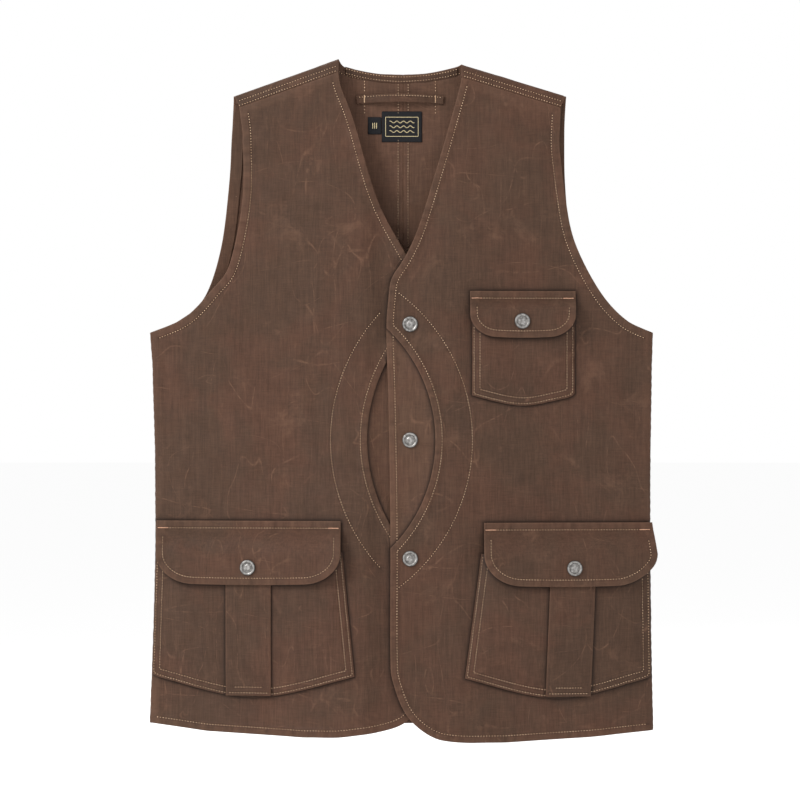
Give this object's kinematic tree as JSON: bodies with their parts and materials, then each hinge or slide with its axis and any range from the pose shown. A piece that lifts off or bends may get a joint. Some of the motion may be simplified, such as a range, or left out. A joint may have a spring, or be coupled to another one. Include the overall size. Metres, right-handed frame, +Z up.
{
  "type": "fishing vest",
  "caption": "Sleeveless V-neck fishing vest in waxed canvas with bellows pockets, a flapped chest pocket, crescent pockets beside the front edge and press snaps.",
  "frame": {"origin": "where a hook passes behind the hanger loop, at the middle of the loop", "axes": "+Z up the vest, +X to the wearer's left, and the front faces -Y"},
  "size_m": [0.523, 0.0775, 0.7085],
  "materials": {
    "waxed_canvas": "brown waxed cotton canvas with worn, paler creases and edges",
    "lining_canvas": "the same canvas, unworn, as facings and flap linings",
    "label_satin": "black woven label with a pale border",
    "snap_nickel": "antique nickel",
    "thread": "tan topstitching thread"
  },
  "bodies": {
    "vest": {"left_front_side": "waxed_canvas", "right_front_side": "waxed_canvas", "left_side_fold": "waxed_canvas", "right_side_fold": "waxed_canvas", "left_shoulder_strip": "waxed_canvas", "right_shoulder_strip": "waxed_canvas", "left_back": "waxed_canvas", "right_back": "waxed_canvas", "centre_back_seam": "waxed_canvas", "left_side_seam": "waxed_canvas", "right_side_seam": "waxed_canvas", "left_armhole_facing_front": "lining_canvas", "left_armhole_facing_back": "lining_canvas", "right_armhole_facing_front": "lining_canvas", "right_armhole_facing_back": "lining_canvas", "back_neck_facing": "lining_canvas", "hanger_loop": "waxed_canvas", "neck_label": "label_satin", "left_pocket_bag": "waxed_canvas", "left_pocket_pleat": "waxed_canvas", "left_flap_band": "waxed_canvas", "left_snap_stud": "snap_nickel", "left_snap_post": "snap_nickel", "right_pocket_bag": "waxed_canvas", "right_pocket_pleat": "waxed_canvas", "right_flap_band": "waxed_canvas", "right_snap_stud": "snap_nickel", "right_snap_post": "snap_nickel", "chest_pocket_bag": "waxed_canvas", "chest_flap_band": "waxed_canvas", "chest_snap_stud": "snap_nickel", "chest_snap_post": "snap_nickel"},
    "left_front": {"left_front_wing": "waxed_canvas", "left_crescent_panel": "waxed_canvas", "upper_snap_cap": "snap_nickel", "upper_snap_socket": "snap_nickel", "middle_snap_cap": "snap_nickel", "middle_snap_socket": "snap_nickel", "lower_snap_cap": "snap_nickel", "lower_snap_socket": "snap_nickel"},
    "right_front": {"right_front_wing": "waxed_canvas", "right_crescent_panel": "waxed_canvas", "upper_snap_stud": "snap_nickel", "upper_snap_post": "snap_nickel", "middle_snap_stud": "snap_nickel", "middle_snap_post": "snap_nickel", "lower_snap_stud": "snap_nickel", "lower_snap_post": "snap_nickel"},
    "left_pocket_flap": {"left_flap": "waxed_canvas", "left_flap_lining": "lining_canvas", "left_snap_cap": "snap_nickel", "left_snap_socket": "snap_nickel"},
    "right_pocket_flap": {"right_flap": "waxed_canvas", "right_flap_lining": "lining_canvas", "right_snap_cap": "snap_nickel", "right_snap_socket": "snap_nickel"},
    "chest_pocket_flap": {"chest_flap": "waxed_canvas", "chest_flap_lining": "lining_canvas", "chest_snap_cap": "snap_nickel", "chest_snap_socket": "snap_nickel"}
  },
  "joints": [
    {"name": "left_front_open", "type": "hinge", "parent": "vest", "child": "left_front", "pos_m": [0.057, -0.05129, -0.6], "axis": [0, 0.0416, 0.9991], "range_deg": [0, 140]},
    {"name": "right_front_open", "type": "hinge", "parent": "vest", "child": "right_front", "pos_m": [-0.04, -0.0264, 0], "axis": [0, -0.042, -0.9991], "range_deg": [0, 56]},
    {"name": "left_flap_open", "type": "hinge", "parent": "vest", "child": "left_pocket_flap", "pos_m": [0.1745, -0.02828, -0.449], "axis": [-0.9918, -0.1281, 0], "range_deg": [0, 135]},
    {"name": "right_flap_open", "type": "hinge", "parent": "vest", "child": "right_pocket_flap", "pos_m": [-0.1572, -0.03004, -0.447], "axis": [-0.9913, 0.1313, 0], "range_deg": [0, 135]},
    {"name": "chest_flap_open", "type": "hinge", "parent": "vest", "child": "chest_pocket_flap", "pos_m": [0.1275, -0.02733, -0.209], "axis": [-0.9963, -0.0854, 0], "range_deg": [0, 120]}
  ],
  "couplings": [
    {"joint": "right_front_open", "follows": "left_front_open", "ratio": 0.4}
  ]
}
